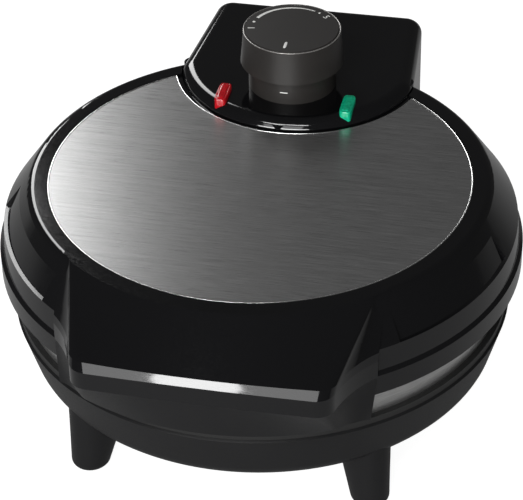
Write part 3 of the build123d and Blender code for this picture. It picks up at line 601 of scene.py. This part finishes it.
def printed_number(name, text, degrees, size):
    """A plain number on the dial, its top outwards, made from the built-in font and turned to a mesh."""
    curve = bpy.data.curves.new(name, "FONT")
    curve.body = text
    curve.size = size
    curve.extrude = INK / 2
    curve.align_x, curve.align_y = "CENTER", "CENTER"
    letter = bpy.data.objects.new(name + "_outline", curve)
    mesh = bpy.data.meshes.new_from_object(letter)
    bpy.data.objects.remove(letter)
    centre = around(knob_centre, print_radius, np.array([degrees]), ink_height)[0]
    mesh.transform(Matrix.Translation(centre) @ Matrix.Rotation(math.radians(degrees - 90), 4, "Z"))
    mesh.materials.clear()
    mesh.materials.append(ink)
    shape = bmesh.new()
    shape.from_mesh(mesh)
    bmesh.ops.remove_doubles(shape, verts=shape.verts, dist=0.001 * MM)
    bmesh.ops.recalc_face_normals(shape, faces=shape.faces)
    shape.to_mesh(mesh)
    shape.free()
    piece = bpy.data.objects.new(name, mesh)
    scene.collection.objects.link(piece)
    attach(piece, "knob")


printed_number("low_number", "1", 190, 4.6 * MM)
printed_number("high_number", "5", 43, 4.2 * MM)
collar_radius = (collar_high[0] - collar_low[0]) / 2
tick_height = collar_low[2] + 0.5 * (collar_high[2] - collar_low[2])
bead("collar_tick", around(knob_centre, collar_radius, np.linspace(-95, -85, 12), tick_height),
     0.15 * MM, 0.45 * MM, ink, "lid")
print("collar tick", round((knob_top - tick_height) / MM, 1), "mm below the dial's face")

# %% [markdown]
# The dial's top edge is chamfered and shows as a fine pale line where it catches the light. A closed bead
# of paler, smoother plastic lies along the chamfer: its pale colour is a painted highlight.

# %% Edge of the dial
RING_POINTS = 180
# the bead's pale colour is a painted highlight on the chamfer
dial_edge = speckled("dial_edge_highlight", (0.3, 0.29, 0.28), 0.25, 0.6, size_mm=1.0, depth_mm=0.004, contrast=0.2)
ring_radius = face_radius * 1.045
ring_turn = np.linspace(0, 360, RING_POINTS, endpoint=False)
ring = around(knob_centre, ring_radius, ring_turn, knob_top - 0.42 * MM)
bead("dial_edge", ring, 0.7 * MM, 0.5 * MM, dial_edge, "knob", closed=True)
print("dial edge", round(2 * ring_radius / MM, 1), "mm across")

# %% [markdown]
# ## Lamp lenses
#
# Each lens is a clear coloured block that sits across the rounded front edge of the panel. Inside its
# smooth rim stands a raised window. The block is a stack of rounded rectangles, from the foot inside the
# panel up to the window, and a shallow groove between rim and window catches the light.

# %% Lenses
LENS_LENGTH = 14.5 * MM
LENS_FORWARD = 4.0 * MM  # the lens reaches over the panel's rounded edge
LENS_DEPTH = 5.4 * MM  # from the window down to the foot
LENS_POINTS = 64  # points round each section


def lens(name, node, material):
    """A lens over a lamp, as rounded rectangles |x/a|^n + |y/b|^n = 1 with n = 5, stacked."""
    low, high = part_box(node)
    centre = np.array([(low[0] + high[0]) / 2, (low[1] + high[1]) / 2 - LENS_FORWARD])
    half = np.array([(high[0] - low[0]) / 2, LENS_LENGTH / 2])
    top = high[2]
    foot = top - LENS_DEPTH
    sections = np.array([  # how far in, and how high, in mm
        (0.05, foot / MM), (0.0, foot / MM + 0.2), (0.0, top / MM - 1.1), (0.12, top / MM - 0.65),
        (0.35, top / MM - 0.42), (0.75, top / MM - 0.4), (0.95, top / MM - 0.5), (1.1, top / MM - 0.15),
        (1.3, top / MM - 0.03), (1.9, top / MM), (2.5, top / MM),
    ]) * MM
    turn = np.linspace(0, 2 * np.pi, LENS_POINTS, endpoint=False)
    c, s = np.cos(turn), np.sin(turn)
    rounded = np.stack([np.sign(c) * np.abs(c) ** 0.4, np.sign(s) * np.abs(s) ** 0.4], -1)
    rings = [
        np.column_stack([centre + rounded * np.maximum(half - inset, 0.1 * MM), np.full(LENS_POINTS, height)])
        for inset, height in sections
    ]
    points = np.concatenate(rings)
    faces = quads_between(len(rings), LENS_POINTS).tolist()
    faces += [list(range(LENS_POINTS))[::-1], list(range(len(points) - LENS_POINTS, len(points)))]
    piece = make_piece(name, points, faces, material, "lid")
    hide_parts(node)
    print(name, [round(float(s) / MM, 1) for s in np.ptp(points, axis=0)], "mm")


lens("red_window", "red_lens", red)
lens("green_window", "green_lens", green)

# %% [markdown]
# ## Floor
#
# The object stands on a plain white floor. For the camera and for clear plastic the floor adds a glow of
# its own to what the lamps give it, and for reflections a small part of that glow. So it reads as white,
# still keeps a soft shadow under the object, and the glow adds nothing to the diffuse light on it.

# %% Floor
FLOOR_HALF = 6.0  # metres
floor_mesh = bpy.data.meshes.new("floor")
corners = [(-FLOOR_HALF, -FLOOR_HALF, 0), (FLOOR_HALF, -FLOOR_HALF, 0),
           (FLOOR_HALF, FLOOR_HALF, 0), (-FLOOR_HALF, FLOOR_HALF, 0)]
floor_mesh.from_pydata(corners, [], [(0, 1, 2, 3)])
floor = bpy.data.objects.new("floor", floor_mesh)
scene.collection.objects.link(floor)
print("floor", round(2 * FLOOR_HALF), "metres wide")

# %% [markdown]
# The Light Path node tells what kind of ray meets the floor. The three kinds are joined with two Maximum
# nodes into one switch, and the switch sets the strength of the glow.

# %% Paint of the floor
GLOSS_SHARE = 0.12  # how much of the floor's glow a reflection shows
FLOOR_GLOW = 0.94


def seen_directly(material):
    """1 for the camera's rays and those through clear plastic, GLOSS_SHARE for reflections, else 0."""
    path = add_node(material, "ShaderNodeLightPath")
    gloss = add_node(material, "ShaderNodeMath", operation="MULTIPLY")
    gloss.inputs[1].default_value = GLOSS_SHARE
    either = add_node(material, "ShaderNodeMath", operation="MAXIMUM")
    all_three = add_node(material, "ShaderNodeMath", operation="MAXIMUM")
    link(material, path.outputs["Is Glossy Ray"], gloss.inputs[0])
    link(material, path.outputs["Is Camera Ray"], either.inputs[0])
    link(material, gloss.outputs["Value"], either.inputs[1])
    link(material, either.outputs["Value"], all_three.inputs[0])
    link(material, path.outputs["Is Transmission Ray"], all_three.inputs[1])
    return all_three.outputs["Value"]


floor_paint, shader = new_material("floor_paint", (0.3, 0.3, 0.3), 1.0)
shader.inputs["Specular IOR Level"].default_value = 0.0
shader.inputs["Emission Color"].default_value = (1, 1, 1, 1)
link(floor_paint, spread(floor_paint, seen_directly(floor_paint), 0, FLOOR_GLOW, 0, 1),
     shader.inputs["Emission Strength"])
floor_mesh.materials.append(floor_paint)
print("floor glow", FLOOR_GLOW, "for the camera,", round(FLOOR_GLOW * GLOSS_SHARE, 2), "in reflections")

# %% [markdown]
# ## World
#
# Past the floor's edge the camera sees the world, which is plain white to it. To everything else the world
# is a faint even light, so that the black shell isn't lifted to grey.

# %% World
WORLD_LIGHT = 0.07
world = bpy.data.worlds.new("studio")
scene.world = world
world.use_nodes = True
background = world.node_tree.nodes["Background"]
background.inputs["Color"].default_value = (1, 1, 1, 1)
path = world.node_tree.nodes.new("ShaderNodeLightPath")
level = world.node_tree.nodes.new("ShaderNodeMapRange")
level.inputs["To Min"].default_value = WORLD_LIGHT
level.inputs["To Max"].default_value = 1.0
world.node_tree.links.new(path.outputs["Is Camera Ray"], level.inputs["Value"])
world.node_tree.links.new(level.outputs["Result"], background.inputs["Strength"])
print("world strength", WORLD_LIGHT, "on the object")

# %% [markdown]
# ## Lamps
#
# Black gloss shows little but reflections, so its shape is drawn with long lamps in front. A low strip and a
# high strip make the bright lines along the edges, and a broad panel between them lights the matt plastic.
# A tall lamp behind on the left is for the steel: it makes the brushed face bright at the left and dark at
# the right.

# %% Lamps


def panel(name, spot, aim, size, watts):
    """A rectangular soft light at spot, turned to face aim."""
    data = bpy.data.lights.new(name, "AREA")
    data.shape = "RECTANGLE"
    data.size, data.size_y = size
    data.energy = watts
    lamp = bpy.data.objects.new(name, data)
    scene.collection.objects.link(lamp)
    lamp.matrix_world = Matrix.Translation(spot) @ (
        (Vector(spot) - Vector(aim)).to_track_quat("Z", "Y").to_matrix().to_4x4()
    )
    print(name, size, "metres,", watts, "W")


panel("low_strip", (-0.15, -1.5, 0.36), (0, 0, 0.09), (1.3, 0.22), 16)
panel("high_strip", (-0.1, -0.95, 1.12), (0, 0, 0.1), (0.9, 0.1), 6)
panel("front_panel", (-0.15, -1.35, 0.62), (0, 0, 0.1), (0.9, 0.85), 9)
panel("back_left", (-0.82, 1.2, 1.0), (-0.05, 0, 0.1), (0.5, 0.9), 11)

# %% [markdown]
# ## Picture settings
#
# The view transform is Standard, which shows a colour about as it is written.

# %% Picture settings
scene.view_settings.view_transform = "Standard"
